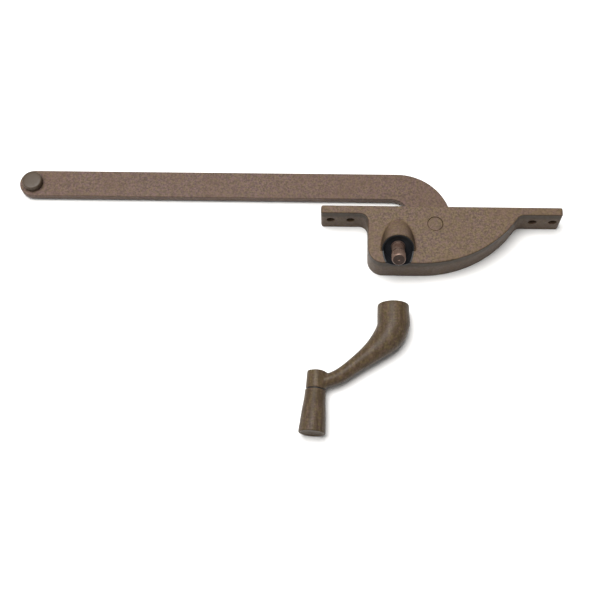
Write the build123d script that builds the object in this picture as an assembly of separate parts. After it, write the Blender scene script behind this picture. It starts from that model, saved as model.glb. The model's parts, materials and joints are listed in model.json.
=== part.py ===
from build123d import *
import os
from math import acos, asin, atan, cos, degrees, pi, radians, sin, sqrt, tan

os.makedirs("parts", exist_ok=True)

# Single-arm casement window operator with its loose crank handle.
# Millimetres. Origin: the arm's pivot axis on the plane that the gear case stands on.
# +X runs to the right along the mounting flange, +Y to the outside of the window, +Z up.

# --- gear case -----------------------------------------------------------------------
case_height = 19.0
case_wall = 2.4
roof_thickness = 2.6
case_left = -37.9
case_front = -24.3
arc_centre = (-7.7, 41.7)
corner_radius = 9.0
flange_root_radius = 5.0
top_edge_radius = 0.8
flange_left, flange_right = -64.9, 72.3
flange_front, flange_back = 6.2, 11.0
flange_end_radius, flange_corner_radius = 1.4, 2.0
screw_hole_radius = 2.4
screw_hole_centre = 4.2
screw_hole_spans = (127.0, 104.0)
slot_left, slot_right, slot_top = -18.8, 42.0, 13.9

# --- bottom cover --------------------------------------------------------------------
cover_thickness = 1.2
cover_inset = 1.0
cover_gap = 0.15
cover_screw_places = ((-31.4, -17.4), (-33.5, 3.4), (12.6, -16.5), (28.4, -8.2))
cover_boss_radius = 3.2
cover_screw_radius = 1.4
cover_screw_length = 9.0
cover_head_radius = 2.7

# --- pivot ---------------------------------------------------------------------------
pin_radius = 4.0
pin_head_radius = 4.25
pin_tail_radius = 2.9
running_gap = 0.05
face_gap = 0.2
washer_radius = 7.2
washer_thickness = 0.8

# --- arm -----------------------------------------------------------------------------
arm_thickness = 4.0
arm_bottom = cover_thickness + washer_thickness + face_gap
arm_top = arm_bottom + arm_thickness
arm_edge_back, arm_edge_front = 37.8, 21.4
arm_width = arm_edge_back - arm_edge_front
stud_x, stud_y = -236.5, (arm_edge_back + arm_edge_front) / 2
outer_bend_x, outer_bend_radius, outer_bend_turn = -21.0, 31.9, 83.0
inner_bend_x, inner_bend_radius = -24.3, 10.2
hub_radius = 14.1
stud_radius = 2.9
button_radius = 5.85
button_height = 4.4
button_roof = 1.2

# --- worm and sector, a crossed pair -------------------------------------------------
shaft_tilt = 34.0
normal_module = 1.0
pressure_angle = 20.0
worm_pitch_radius = 4.2
gear_teeth = 30
sector_teeth = 12
first_tooth_angle = 162.0
addendum, dedendum = 0.95, 1.2
backlash = 0.16
sector_thickness = 6.0
sector_hub_radius = 13.0
bushing_radius = 6.0
rivet_circle, rivet_radius, rivet_head_radius = 10.6, 1.5, 2.0
rivet_head_height = 0.6
rivet_angles = (60, 190, 260)

# --- snout and shaft: distances along the shaft, from its nearest point to the pivot --
snout_radius = 9.5
snout_bore_radius = 9.0
snout_start, snout_end = 7.0, 19.7
hump_start, snout_root_radius = 2.0, 1.2
bushing_start, bushing_step, bushing_end = 11.0, 15.4, 17.4
bushing_body_radius, bushing_bore_gap = 7.4, 0.05
liner_wall, liner_gap = 0.7, 0.04
thrust_washer_start = 10.15
worm_chamber_radius = 5.75
inner_bearing_start, inner_bearing_end = -8.8, -5.6
inner_journal_radius, inner_bearing_radius = 2.2, 3.0
thread_start_turns, thread_end_turns = -1.25, 1.5
collar_start, collar_end, collar_radius = 8.6, 10.0, 5.0
journal_radius = 4.0
neck_radius = 3.6
groove_start, groove_end, groove_radius = 24.2, 25.4, 3.1
spline_end, spline_radius, spline_depth, spline_count = 31.1, 3.97, 0.32, 24

# --- crank handle: its own frame has the socket's axis along Y ------------------------
socket_radius = 8.9
crank_place = Location((-23.4, 0, socket_radius), (0, -1.93, 0))
socket_rim, socket_floor = -46.0, -60.0
socket_gap = 0.1
socket_straight = 11.6
eye_centre = (-42.05, -90.05)
eye_radius, eye_length = 5.5, 10.1
knob_lean = 3.5
spindle_radius = 2.25
knob_gap = 0.15
knob_washer_thickness = 0.4
knob_length, knob_neck_radius, knob_end_radius = 24.6, 5.8, 7.4
set_screw_y, set_screw_radius = -53.0, 2.4
# centre x, centre y, heading in degrees, width, height
crank_sections = (
    (0.0, -50.0, 270, 17.8, 17.8),
    (0.0, -58.0, 268, 18.1, 17.5),
    (-3.3, -65.6, 248, 16.9, 15.6),
    (-11.0, -72.2, 226, 13.4, 12.4),
    (-20.3, -79.6, 216, 10.4, 10.0),
    (-30.0, -86.4, 213, 8.6, 8.6),
    (-38.5, -90.0, 202, 7.8, 8.2),
)

# --- worked-out sizes ----------------------------------------------------------------
worm_lead_angle = degrees(asin(normal_module / (2 * worm_pitch_radius)))
gear_helix_angle = (90 - worm_lead_angle) - (90 - shaft_tilt)
gear_pitch_radius = gear_teeth * normal_module / (2 * cos(radians(gear_helix_angle)))
worm_axial_pitch = pi * normal_module / cos(radians(worm_lead_angle))
shaft_x = -(gear_pitch_radius + worm_pitch_radius + 0.04)
sector_bottom = arm_top
sector_top = sector_bottom + sector_thickness
mesh_height = (sector_bottom + sector_top) / 2
roof_underside = case_height - roof_thickness
pivot_boss_bottom = sector_top + face_gap + washer_thickness
shaft_direction = Vector(0, -cos(radians(shaft_tilt)), sin(radians(shaft_tilt)))
shaft_frame = Plane((shaft_x, 0, mesh_height), x_dir=(1, 0, 0), z_dir=shaft_direction)
ON_FLOOR = (Align.CENTER, Align.CENTER, Align.MIN)


def upright(radius, bottom, top, x=0.0, y=0.0):
    """A cylinder that stands along Z."""
    return Pos(x, y, bottom) * Cylinder(radius, top - bottom, align=ON_FLOOR)


def along_shaft(radius, start, end):
    """A cylinder about the shaft's tilted axis."""
    return shaft_frame * Pos(0, 0, start) * Cylinder(radius, end - start, align=ON_FLOOR)


def ring(outer, inner, bottom, top):
    """A washer about Z."""
    return upright(outer, bottom, top) - upright(inner, bottom, top)


def star(outer, depth, count):
    """The serrated section of a fine spline."""
    corners = []
    for step in range(count):
        turn = 360 * step / count
        half = 180 / count
        corners.append(Vector(outer, 0).rotate(Axis.Z, turn))
        corners.append(Vector(outer - depth, 0).rotate(Axis.Z, turn + half))
    return make_face(Polyline(*corners, close=True))


def case_plan():
    """The teardrop plan of the gear case, up to the back of its flange."""
    cx, cy = arc_centre
    radius = cy - case_front
    right = cx + sqrt(radius**2 - (cy - flange_back) ** 2)
    middle = Vector(0, -radius).rotate(Axis.Z, 30) + Vector(cx, cy)
    edges = [
        Line((case_left, flange_back), (case_left, case_front)),
        Line((case_left, case_front), (cx, case_front)),
        ThreePointArc((cx, case_front), middle, (right, flange_back)),
        Line((right, flange_back), (case_left, flange_back)),
    ]
    plan = make_face(edges)
    corner = plan.vertices().sort_by_distance((case_left, case_front))[0]
    return fillet(corner, corner_radius)


def flange_plan():
    """The plan of the mounting flange with its small end rounding."""
    length, depth = flange_right - flange_left, flange_back - flange_front
    middle = Pos((flange_left + flange_right) / 2, (flange_front + flange_back) / 2)
    return middle * RectangleRounded(length, depth, flange_end_radius)


def outer_case():
    """Case and flange as one block with a soft top edge, and the tilted snout on it."""
    plan = case_plan() + flange_plan()
    near_left = plan.vertices().sort_by_distance((case_left, flange_front))[0]
    plan = fillet(near_left, flange_root_radius)
    cx, cy = arc_centre
    right = cx + sqrt((cy - case_front) ** 2 - (cy - flange_front) ** 2)
    near_right = plan.vertices().sort_by_distance((right, flange_front))[0]
    plan = fillet(near_right, flange_root_radius)
    block = extrude(plan, case_height)
    block = fillet(block.faces().sort_by(Axis.Z)[-1].edges(), top_edge_radius)
    front_view = Plane.XZ * Pos((flange_left + flange_right) / 2, case_height / 2)
    outline = RectangleRounded(flange_right - flange_left, case_height, flange_corner_radius)
    block &= extrude(front_view * outline, 2 * case_height, both=True)
    block += along_shaft(snout_radius, hump_start, snout_end)
    on_roof = block.edges().filter_by(GeomType.ELLIPSE).filter_by_position(Axis.Z, case_height, case_height)
    return fillet(on_roof, snout_root_radius)


def make_gear_housing():
    """Die-cast case: shell, bosses, arm slot, shaft bores and flange screw holes."""
    plan = case_plan()
    cavity = extrude(offset(plan, -case_wall), roof_underside)
    cover_recess = extrude(offset(plan, cover_gap - cover_inset), cover_thickness)
    shell = outer_case() - cavity - cover_recess
    room = extrude(offset(plan, -case_wall / 2), roof_underside)
    inner_boss = along_shaft(inner_bearing_radius + 1.6, inner_bearing_start - 1, inner_bearing_end)
    bosses = upright(washer_radius, pivot_boss_bottom, roof_underside)
    bosses += along_shaft(snout_radius, snout_start, snout_end) & room
    bosses += inner_boss & room
    for x, y in cover_screw_places:
        bosses += upright(cover_boss_radius, 0, roof_underside, x, y) & room
    bosses -= cover_recess
    gear_room = gear_pitch_radius + addendum + 0.5
    bosses -= upright(gear_room, sector_bottom - 0.4, pivot_boss_bottom) - upright(
        washer_radius, pivot_boss_bottom - 0.1, roof_underside
    )
    bosses -= upright(hub_radius + 0.6, 0, sector_bottom)
    case = shell + bosses
    slot_size = (slot_right - slot_left, 3 * case_wall, slot_top)
    slot_corner = Pos(slot_left, flange_back - 2 * case_wall, 0)
    case -= slot_corner * Box(*slot_size, align=(Align.MIN, Align.MIN, Align.MIN))
    case -= along_shaft(worm_chamber_radius, inner_bearing_end, thrust_washer_start)
    case -= along_shaft(inner_bearing_radius + 0.02, inner_bearing_start - 0.3, 0)
    case -= along_shaft(bushing_body_radius + 0.02, thrust_washer_start, bushing_step)
    case -= along_shaft(snout_bore_radius, bushing_step, spline_end)
    case -= upright(pin_head_radius + 0.05, pivot_boss_bottom - 0.1, case_height)
    groove = Pos(0, 0, case_height) * Cone(
        pin_head_radius, pin_head_radius + 0.45, 0.9, align=(Align.CENTER, Align.CENTER, Align.CENTER)
    )
    case -= groove
    for span in screw_hole_spans:
        for side in (-1, 1):
            x = screw_hole_centre + side * span / 2
            hole = Pos(x, flange_back, case_height / 2) * Rot(90, 0, 0)
            case -= hole * Cylinder(screw_hole_radius, 30)
    for x, y in cover_screw_places:
        case -= upright(cover_screw_radius + 0.05, 0, cover_screw_length + 0.6, x, y)
    return case


def make_bottom_cover():
    """Sheet-steel cover let into the underside of the case."""
    cover = extrude(offset(case_plan(), -cover_inset), cover_thickness)
    cover -= upright(pin_tail_radius + running_gap, 0, cover_thickness)
    for x, y in cover_screw_places:
        sink = Cone(cover_head_radius + 0.05, cover_screw_radius + 0.05, cover_thickness, align=ON_FLOOR)
        cover -= Pos(x, y, 0) * sink
    return cover


def make_cover_screws():
    """Four countersunk screws with cross recesses, as separate solids in one node."""
    screws = []
    for x, y in cover_screw_places:
        screw = Cone(cover_head_radius, cover_screw_radius, cover_thickness, align=ON_FLOOR)
        screw += Cylinder(cover_screw_radius, cover_screw_length, align=ON_FLOOR)
        screw -= Box(3.0, 0.7, 1.6) + Box(0.7, 3.0, 1.6)
        screws.append(Pos(x, y, 0) * screw)
    return Compound(children=screws)


def make_pivot_pin():
    """Stepped steel pin, flush with the top of the case and peened in the cover."""
    pin = upright(pin_tail_radius, 0, cover_thickness)
    pin += upright(pin_radius, cover_thickness, pivot_boss_bottom)
    head = upright(pin_head_radius, pivot_boss_bottom, case_height)
    return pin + chamfer(head.faces().sort_by(Axis.Z)[-1].edges(), 0.4)


def arm_plan():
    """Flat outline of the arm: long blade, double bend and hub."""
    outer_y = arm_edge_back - outer_bend_radius
    inner_y = arm_edge_front - inner_bend_radius
    turn = radians(outer_bend_turn)
    bend_end = (outer_bend_x + outer_bend_radius * sin(turn), outer_y + outer_bend_radius * cos(turn))
    bend_mid = (
        outer_bend_x + outer_bend_radius * sin(turn / 2),
        outer_y + outer_bend_radius * cos(turn / 2),
    )
    inner_x = inner_bend_x + inner_bend_radius
    half = inner_bend_radius * cos(radians(45))
    edges = [
        ThreePointArc(
            (stud_x, arm_edge_front), (stud_x - arm_width / 2, stud_y), (stud_x, arm_edge_back)
        ),
        Line((stud_x, arm_edge_back), (outer_bend_x, arm_edge_back)),
        ThreePointArc((outer_bend_x, arm_edge_back), bend_mid, bend_end),
        Line(bend_end, (hub_radius, 0)),
        Line((hub_radius, 0), (inner_x, 0)),
        Line((inner_x, 0), (inner_x, inner_y)),
        ThreePointArc(
            (inner_x, inner_y), (inner_bend_x + half, inner_y + half), (inner_bend_x, arm_edge_front)
        ),
        Line((inner_bend_x, arm_edge_front), (stud_x, arm_edge_front)),
    ]
    return make_face(edges) + Circle(hub_radius)


def rivet_holes(bottom, top):
    """The holes that the sector's rivets pass through."""
    holes = []
    for angle in rivet_angles:
        place = Vector(rivet_circle, 0).rotate(Axis.Z, angle)
        holes.append(upright(rivet_radius + 0.02, bottom, top, place.X, place.Y))
    return holes


def make_operator_arm():
    """Stamped steel arm with softened edges."""
    arm = Pos(0, 0, arm_bottom) * extrude(arm_plan(), arm_thickness)
    arm = fillet(arm.faces().sort_by(Axis.Z)[-1].edges(), 0.5)
    arm -= upright(bushing_radius + 0.01, arm_bottom, arm_top)
    for hole in rivet_holes(arm_bottom, arm_top):
        arm -= hole
    return arm - upright(stud_radius + 0.01, arm_bottom, arm_top, stud_x, stud_y)


def involute(angle):
    return tan(angle) - angle


def tooth_angle(radius):
    """Half the angle that a sector tooth fills at the given radius."""
    module = normal_module / cos(radians(gear_helix_angle))
    flank = atan(tan(radians(pressure_angle)) / cos(radians(gear_helix_angle)))
    base = gear_pitch_radius * cos(flank)
    pitch_half = (pi * module / 2 - backlash) / (2 * gear_pitch_radius)
    return degrees(pitch_half + involute(flank) - involute(acos(base / radius)))


def make_gear_sector():
    """Toothed sector whose slanted teeth follow the tilted worm."""
    root, tip = gear_pitch_radius - dedendum, gear_pitch_radius + addendum
    spacing = 360 / gear_teeth
    twist = -degrees(sector_thickness * tan(radians(gear_helix_angle)) / gear_pitch_radius)

    def at(radius, angle):
        return Vector(radius, 0).rotate(Axis.Z, angle)

    edges = []
    last = at(root, first_tooth_angle - spacing / 2)
    start = last
    for tooth in range(sector_teeth):
        middle = first_tooth_angle + tooth * spacing
        rise = [at(r, middle - tooth_angle(r)) for r in (root, gear_pitch_radius, tip)]
        fall = [at(r, middle + tooth_angle(r)) for r in (tip, gear_pitch_radius, root)]
        edges.append(Line(last, rise[0]))
        edges.append(ThreePointArc(*rise))
        edges.append(Line(rise[2], fall[0]))
        edges.append(ThreePointArc(*fall))
        last = fall[2]
    end = at(root, first_tooth_angle + (sector_teeth - 0.5) * spacing)
    edges += [Line(last, end), Line(end, (0, 0)), Line((0, 0), start)]
    plan = make_face(edges)
    section = Pos(0, 0, sector_bottom) * Rot(0, 0, -twist / 2) * plan
    teeth = Solid.extrude_linear_with_rotation(
        section.faces()[0], (0, 0, sector_bottom), (0, 0, sector_thickness), twist
    )
    sector = upright(sector_hub_radius, sector_bottom, sector_top) + teeth
    sector -= upright(bushing_radius + 0.01, sector_bottom, sector_top)
    for hole in rivet_holes(sector_bottom, sector_top):
        sector -= hole
    return sector


def make_sector_rivets():
    """Three rivets that hold the sector on the arm, as separate solids in one node."""
    rivets = []
    for angle in rivet_angles:
        place = Vector(rivet_circle, 0).rotate(Axis.Z, angle)
        x, y = place.X, place.Y
        rivet = upright(rivet_radius, arm_bottom, sector_top, x, y)
        low = upright(rivet_head_radius, arm_bottom - rivet_head_height, arm_bottom, x, y)
        high = upright(rivet_head_radius, sector_top, sector_top + rivet_head_height, x, y)
        rivet += low + fillet(high.faces().sort_by(Axis.Z)[-1].edges(), 0.4)
        rivets.append(rivet)
    return Compound(children=rivets)


def make_worm_shaft():
    """Steel shaft with worm thread, thrust collar, journal, set-screw groove and spline."""
    shaft = along_shaft(inner_journal_radius, inner_bearing_start + 0.2, inner_bearing_end + 0.2)
    shaft += along_shaft(worm_pitch_radius - dedendum, inner_bearing_end + 0.2, collar_start)
    shaft += along_shaft(collar_radius, collar_start, collar_end)
    shaft += along_shaft(journal_radius, collar_end, bushing_end + 1.0)
    shaft += along_shaft(neck_radius, bushing_end + 1.0, groove_start)
    shaft += along_shaft(groove_radius, groove_start, groove_end)
    spline = extrude(star(spline_radius, spline_depth, spline_count), spline_end - groove_end)
    nose = Cone(spline_radius + 1.1, spline_radius - 0.7, 1.8, align=(Align.CENTER, Align.CENTER, Align.MAX))
    length = spline_end - groove_end
    spline &= Pos(0, 0, length) * nose + Cylinder(spline_radius + 1, length - 1.79, align=ON_FLOOR)
    spline -= Pos(0, 0, length) * Cone(0.2, 1.1, 1.2, align=(Align.CENTER, Align.CENTER, Align.CENTER))
    shaft += shaft_frame * Pos(0, 0, groove_end) * spline
    return shaft + make_thread()


def make_thread():
    """The worm's right-hand thread, in mesh with the sector when the arm is at rest."""
    height = (thread_end_turns - thread_start_turns) * worm_axial_pitch
    path = Helix(worm_axial_pitch, height, worm_pitch_radius)
    half = (pi * normal_module / 2 - backlash) / 2
    slope = tan(radians(pressure_angle))
    sunk = dedendum + 0.3
    tooth = Polyline(
        (-sunk, -half - sunk * slope),
        (addendum, -half + addendum * slope),
        (addendum, half - addendum * slope),
        (-sunk, half + sunk * slope),
        close=True,
    )
    section = Plane(path @ 0, x_dir=(1, 0, 0), z_dir=path % 0) * make_face(tooth)
    thread = sweep(section, path=path, is_frenet=True)
    turned = Rot(0, 0, 360 * thread_start_turns) * thread
    return shaft_frame * Pos(0, 0, thread_start_turns * worm_axial_pitch) * turned


def make_snout_bushing():
    """Black nylon bushing that closes the snout round the shaft and lines its mouth."""
    outer = snout_bore_radius - liner_gap
    bushing = along_shaft(bushing_body_radius, bushing_start, bushing_step)
    bushing += along_shaft(outer, bushing_step, bushing_end)
    bushing -= along_shaft(journal_radius + bushing_bore_gap, bushing_start, bushing_end)
    liner = along_shaft(outer, bushing_end, spline_end) & outer_case()
    return bushing + (liner - along_shaft(outer - liner_wall, bushing_end, spline_end))


def make_button_stud():
    """Headed stud riveted into the end of the arm."""
    top = arm_top + button_height - button_roof
    stud = upright(stud_radius, arm_bottom, top - 1.0, stud_x, stud_y)
    head = upright(stud_radius + 0.6, top - 1.0, top - running_gap, stud_x, stud_y)
    return stud + chamfer(head.faces().sort_by(Axis.Z)[0].edges(), 0.4)


def make_track_button():
    """Guide button that turns on the stud and runs in the track of the sash."""
    bottom = arm_top + face_gap
    top = arm_top + button_height
    button = upright(button_radius, bottom, top, stud_x, stud_y)
    button = fillet(button.faces().sort_by(Axis.Z)[-1].edges(), 1.0)
    bore_top = top - button_roof
    button -= upright(stud_radius + running_gap, bottom, bore_top, stud_x, stud_y)
    button -= upright(stud_radius + 0.6 + running_gap, bore_top - 1.15, bore_top, stud_x, stud_y)
    return button


def crank_section(x, y, heading, width, height):
    """One oval across the crank's curved arm."""
    ahead = Vector(cos(radians(heading)), sin(radians(heading)), 0)
    across = Vector(ahead.Y, -ahead.X, 0)
    return Plane((x, y, 0), x_dir=across, z_dir=ahead) * Ellipse(width / 2, height / 2)


def lengthwise(radius, start, end, x=0.0):
    """A cylinder along Y between two values of Y, in the crank's own frame."""
    return Plane((x, start, 0), x_dir=(1, 0, 0), z_dir=(0, -1, 0)) * Cylinder(
        radius, start - end, align=ON_FLOOR
    )


eye_frame = Plane(
    (*eye_centre, 0),
    x_dir=(0, 0, 1),
    z_dir=(-sin(radians(knob_lean)), -cos(radians(knob_lean)), 0),
)
eye_face = eye_length / 2
knob_start = eye_face + knob_washer_thickness + knob_gap


def on_eye(radius, start, end):
    """A cylinder about the knob's axis, by its distance from the eye's middle."""
    return eye_frame * Pos(0, 0, start) * Cylinder(radius, end - start, align=ON_FLOOR)


def make_crank_arm():
    """Cast handle: splined socket, curved tapering arm and eye for the knob."""
    body = loft([crank_section(*row) for row in crank_sections])
    socket = lengthwise(socket_radius, socket_rim, socket_rim - socket_straight)
    socket = fillet(socket.faces().sort_by(Axis.Y)[-1].edges(), 0.8)
    eye = on_eye(eye_radius, -eye_face, eye_face)
    eye = fillet(eye.edges().filter_by(GeomType.CIRCLE), 0.5)
    body = body + socket + eye
    bore = extrude(star(spline_radius + socket_gap, spline_depth, spline_count), 20.0)
    mouth = Plane((0, socket_floor, 0), x_dir=(1, 0, 0), z_dir=(0, 1, 0))
    body -= mouth * bore
    body -= lengthwise(spline_radius + 0.7, socket_rim + 1, socket_rim - 0.6)
    body -= set_screw_hole(set_screw_radius + 0.03, 12.0)
    return body - on_eye(spindle_radius + 0.02, -12, 12)


def set_screw_hole(radius, depth):
    """A cylinder from the socket's axis down through its wall."""
    return Pos(0, set_screw_y, -depth) * Cylinder(radius, depth, align=ON_FLOOR)


def make_set_screw():
    """Cup-point set screw with a hexagon socket."""
    screw = set_screw_hole(set_screw_radius, socket_radius - 0.4)
    screw -= set_screw_hole(10, spline_radius + socket_gap + 0.1)
    recess = extrude(RegularPolygon(1.25, 6), 2.2)
    return screw - Pos(0, set_screw_y, -socket_radius) * recess


def make_knob_spindle():
    """Shouldered rivet through the eye that the knob turns on."""
    spindle = on_eye(spindle_radius, -eye_face, knob_start + knob_length - 1.6)
    head = on_eye(spindle_radius + 1.2, knob_start + knob_length - 2.4, knob_start + knob_length - 1.4)
    return spindle + head


def make_knob_washer():
    """Thin washer between the eye and the knob."""
    washer = on_eye(eye_radius - 0.3, eye_face, eye_face + knob_washer_thickness)
    return washer - on_eye(spindle_radius, 0, 10)


def make_crank_knob():
    """Turned knob, wider at its end, with a recess for the spindle's head."""
    end, neck, wide = knob_length, knob_neck_radius, knob_end_radius
    hole, pocket = spindle_radius + running_gap, spindle_radius + 1.3
    side = [(neck, 0.5), (neck + 0.25, 7.0), (wide - 0.15, end - 4.0), (wide, end - 1.2)]
    edges = [
        Line((hole, 0), (neck - 0.4, 0)),
        ThreePointArc((neck - 0.4, 0), (neck - 0.1, 0.12), (neck, 0.5)),
        Spline(side, tangents=((0, 1), (0, 1))),
        ThreePointArc((wide, end - 1.2), (wide - 0.35, end - 0.35), (wide - 1.2, end)),
        ThreePointArc((wide - 1.2, end), (pocket + 0.9, end - 0.5), (pocket, end - 0.6)),
        Line((pocket, end - 0.6), (pocket, end - 2.45)),
        Line((pocket, end - 2.45), (hole, end - 2.45)),
        Line((hole, end - 2.45), (hole, 0)),
    ]
    profile = Plane.XZ * make_face(edges)
    knob = revolve(profile, Axis.Z, 360)
    return eye_frame * Pos(0, 0, knob_start) * knob


gear_housing = make_gear_housing()
inner_bearing = along_shaft(inner_bearing_radius, inner_bearing_start, inner_bearing_end)
inner_bearing -= along_shaft(inner_journal_radius + running_gap, inner_bearing_start, 0)
thrust_washer = along_shaft(bushing_body_radius - 0.1, thrust_washer_start + 0.02, bushing_start)
thrust_washer -= along_shaft(journal_radius + running_gap, 0, bushing_start)
lower_washer = ring(washer_radius, pin_radius + 0.02, cover_thickness, cover_thickness + washer_thickness)
upper_washer = ring(washer_radius, pin_radius + 0.02, sector_top + face_gap, pivot_boss_bottom)
hub_bushing = ring(bushing_radius, pin_radius + running_gap, arm_bottom, sector_top)

nodes = {
    "gear_housing": gear_housing,
    "bottom_cover": make_bottom_cover(),
    "cover_screws": make_cover_screws(),
    "pivot_pin": make_pivot_pin(),
    "lower_pivot_washer": lower_washer,
    "upper_pivot_washer": upper_washer,
    "inner_shaft_bearing": inner_bearing,
    "worm_thrust_washer": thrust_washer,
    "snout_bushing": make_snout_bushing(),
    "worm_shaft": make_worm_shaft(),
    "operator_arm": make_operator_arm(),
    "gear_sector": make_gear_sector(),
    "sector_rivets": make_sector_rivets(),
    "hub_bushing": hub_bushing,
    "button_stud": make_button_stud(),
    "track_button": make_track_button(),
    "crank_arm": crank_place * make_crank_arm(),
    "crank_set_screw": crank_place * make_set_screw(),
    "knob_spindle": crank_place * make_knob_spindle(),
    "knob_washer": crank_place * make_knob_washer(),
    "crank_knob": crank_place * make_crank_knob(),
}

for name, shape in nodes.items():
    export_step(shape, f"parts/{name}.step")

print("shaft axis x", round(shaft_x, 3), "direction", shaft_direction)
print("mesh height", mesh_height, "centre distance", round(-shaft_x, 3))
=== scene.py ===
"""Casement window operator in bronze enamel, with its crank handle lying beside it.

Laid out as an add-on: the settings hold the sizes and colours, each operator makes one piece
or finishes one group of pieces, and the panel lists them. Lengths are in metres.
"""

import json
from math import cos, pi, radians, sin

import bmesh
import bpy
from mathutils import Matrix, Vector


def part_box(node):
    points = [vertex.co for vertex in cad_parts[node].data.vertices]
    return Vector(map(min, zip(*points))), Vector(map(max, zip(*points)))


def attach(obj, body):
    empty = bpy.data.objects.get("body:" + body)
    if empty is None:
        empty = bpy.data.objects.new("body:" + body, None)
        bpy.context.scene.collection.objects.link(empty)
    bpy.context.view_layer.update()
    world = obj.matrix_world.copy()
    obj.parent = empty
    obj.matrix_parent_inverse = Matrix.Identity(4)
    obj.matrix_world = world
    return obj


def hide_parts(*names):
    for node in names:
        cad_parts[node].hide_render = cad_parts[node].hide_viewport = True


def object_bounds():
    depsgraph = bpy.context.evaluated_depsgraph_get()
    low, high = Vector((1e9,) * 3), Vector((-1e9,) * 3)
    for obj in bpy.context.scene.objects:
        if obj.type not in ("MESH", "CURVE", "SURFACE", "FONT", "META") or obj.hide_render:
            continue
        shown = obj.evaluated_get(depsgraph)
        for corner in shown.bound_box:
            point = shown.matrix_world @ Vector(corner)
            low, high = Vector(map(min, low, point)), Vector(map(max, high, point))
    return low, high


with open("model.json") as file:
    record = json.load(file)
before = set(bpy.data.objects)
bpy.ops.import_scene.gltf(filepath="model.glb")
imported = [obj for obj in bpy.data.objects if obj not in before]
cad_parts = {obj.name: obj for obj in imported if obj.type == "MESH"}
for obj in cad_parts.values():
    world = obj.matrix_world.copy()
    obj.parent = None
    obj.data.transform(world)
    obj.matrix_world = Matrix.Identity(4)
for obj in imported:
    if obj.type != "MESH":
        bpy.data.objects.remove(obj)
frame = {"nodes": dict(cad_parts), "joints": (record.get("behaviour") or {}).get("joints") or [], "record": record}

bl_info = {
    "name": "Casement Window Operator",
    "version": (1, 0, 0),
    "blender": (4, 5, 0),
    "location": "3D View > Sidebar > Window Operator",
    "description": "Builds and finishes a casement window operator and its crank handle",
    "category": "Object",
}

MM = 0.001
CAD_LOW, CAD_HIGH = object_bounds()
MOUNTS = {mount["name"]: mount for mount in frame["record"]["mounts"]}
JOINTS = {joint["name"]: joint for joint in frame["joints"]}


def linear(hex_colour):
    """An sRGB hex colour as linear RGBA."""
    channels = []
    for start in (1, 3, 5):
        value = int(hex_colour[start : start + 2], 16) / 255
        channels.append(value / 12.92 if value <= 0.04045 else ((value + 0.055) / 1.055) ** 2.4)
    return (*channels, 1.0)


def colour_setting(name, hex_colour, description):
    """A colour that a user may change."""
    return bpy.props.FloatVectorProperty(
        name=name,
        description=description,
        default=linear(hex_colour),
        size=4,
        subtype="COLOR",
        min=0,
        max=1,
    )


def length_setting(name, millimetres, description):
    """A length that a user may change."""
    return bpy.props.FloatProperty(
        name=name,
        description=description,
        default=millimetres * MM,
        min=0,
        unit="LENGTH",
        precision=5,
    )


def number_setting(name, default, description, **kind):
    """Any other number that a user may change, with its unit or subtype."""
    return bpy.props.FloatProperty(name=name, description=description, default=default, **kind)


def count_setting(name, default, description, least=0):
    """A whole number that a user may change."""
    return bpy.props.IntProperty(
        name=name, description=description, default=default, min=least
    )


# ---------------------------------------------------------------------------- settings


class OperatorFinish(bpy.types.PropertyGroup):
    """Colours and surface sizes of the operator's finishes."""

    case_enamel: colour_setting("Case enamel", "#5C4D3A", "Baked bronze enamel on the cast case")
    arm_enamel: colour_setting("Arm enamel", "#59493A", "Baked bronze enamel on the stamped arm")
    handle_enamel: colour_setting("Handle enamel", "#524632", "Glossier enamel on the handle")
    button_acetal: colour_setting("Button acetal", "#44382C", "Moulded guide button")
    # The near-black nylon of the snout's bushing; on the bushing's liner in the snout's mouth it also stands in as
    # painted shade.
    bushing_nylon_and_mouth_shade: colour_setting("Bushing nylon", "#1E1F22", "Black nylon bushing in the snout")
    shaft_steel: colour_setting("Shaft steel", "#735F54", "Oil-darkened turned steel")
    gear_steel: colour_setting("Gear steel", "#8B8884", "Lightly oiled gear steel")
    zinc_plate: colour_setting("Zinc plate", "#A7A59C", "Zinc plate on screws, washers and cover")
    sintered_bronze: colour_setting("Sintered bronze", "#96714A", "Oil-filled bronze bearings")
    fleck: length_setting("Fleck", 1.1, "Spacing of the lighter and darker flecks in the enamel")
    orange_peel: length_setting("Orange peel", 1.1, "Spacing of the ripple left in sprayed enamel")
    edge: length_setting("Edge", 0.7, "How far the enamel's rounding reaches from an edge")


class HandleShape(bpy.types.PropertyGroup):
    """Sizes of the crank handle and its knob."""

    casting_grid: length_setting("Casting grid", 0.4, "Mesh spacing on the cast handle")
    blend_passes: count_setting("Blend passes", 12, "Smoothing that rounds inner corners")
    socket_width: length_setting("Socket width", 17.8, "Outer diameter of the socket")
    socket_wall_end: length_setting("Socket end", 11.6, "Length of the socket's straight part")
    bore_depth: length_setting("Bore depth", 14.0, "Depth of the splined bore")
    bore_width: length_setting("Bore width", 8.14, "Outer diameter of the splined bore")
    spline_depth: length_setting("Spline depth", 0.32, "Height of the serrations")
    spline_count: count_setting("Spline count", 24, "Number of serrations in the bore", 3)
    eye_width: length_setting("Eye width", 11.0, "Diameter of the eye that holds the knob")
    knob_neck: length_setting("Knob neck", 11.6, "Diameter of the knob beside the eye")
    knob_end: length_setting("Knob end", 14.8, "Largest diameter of the knob")


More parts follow.
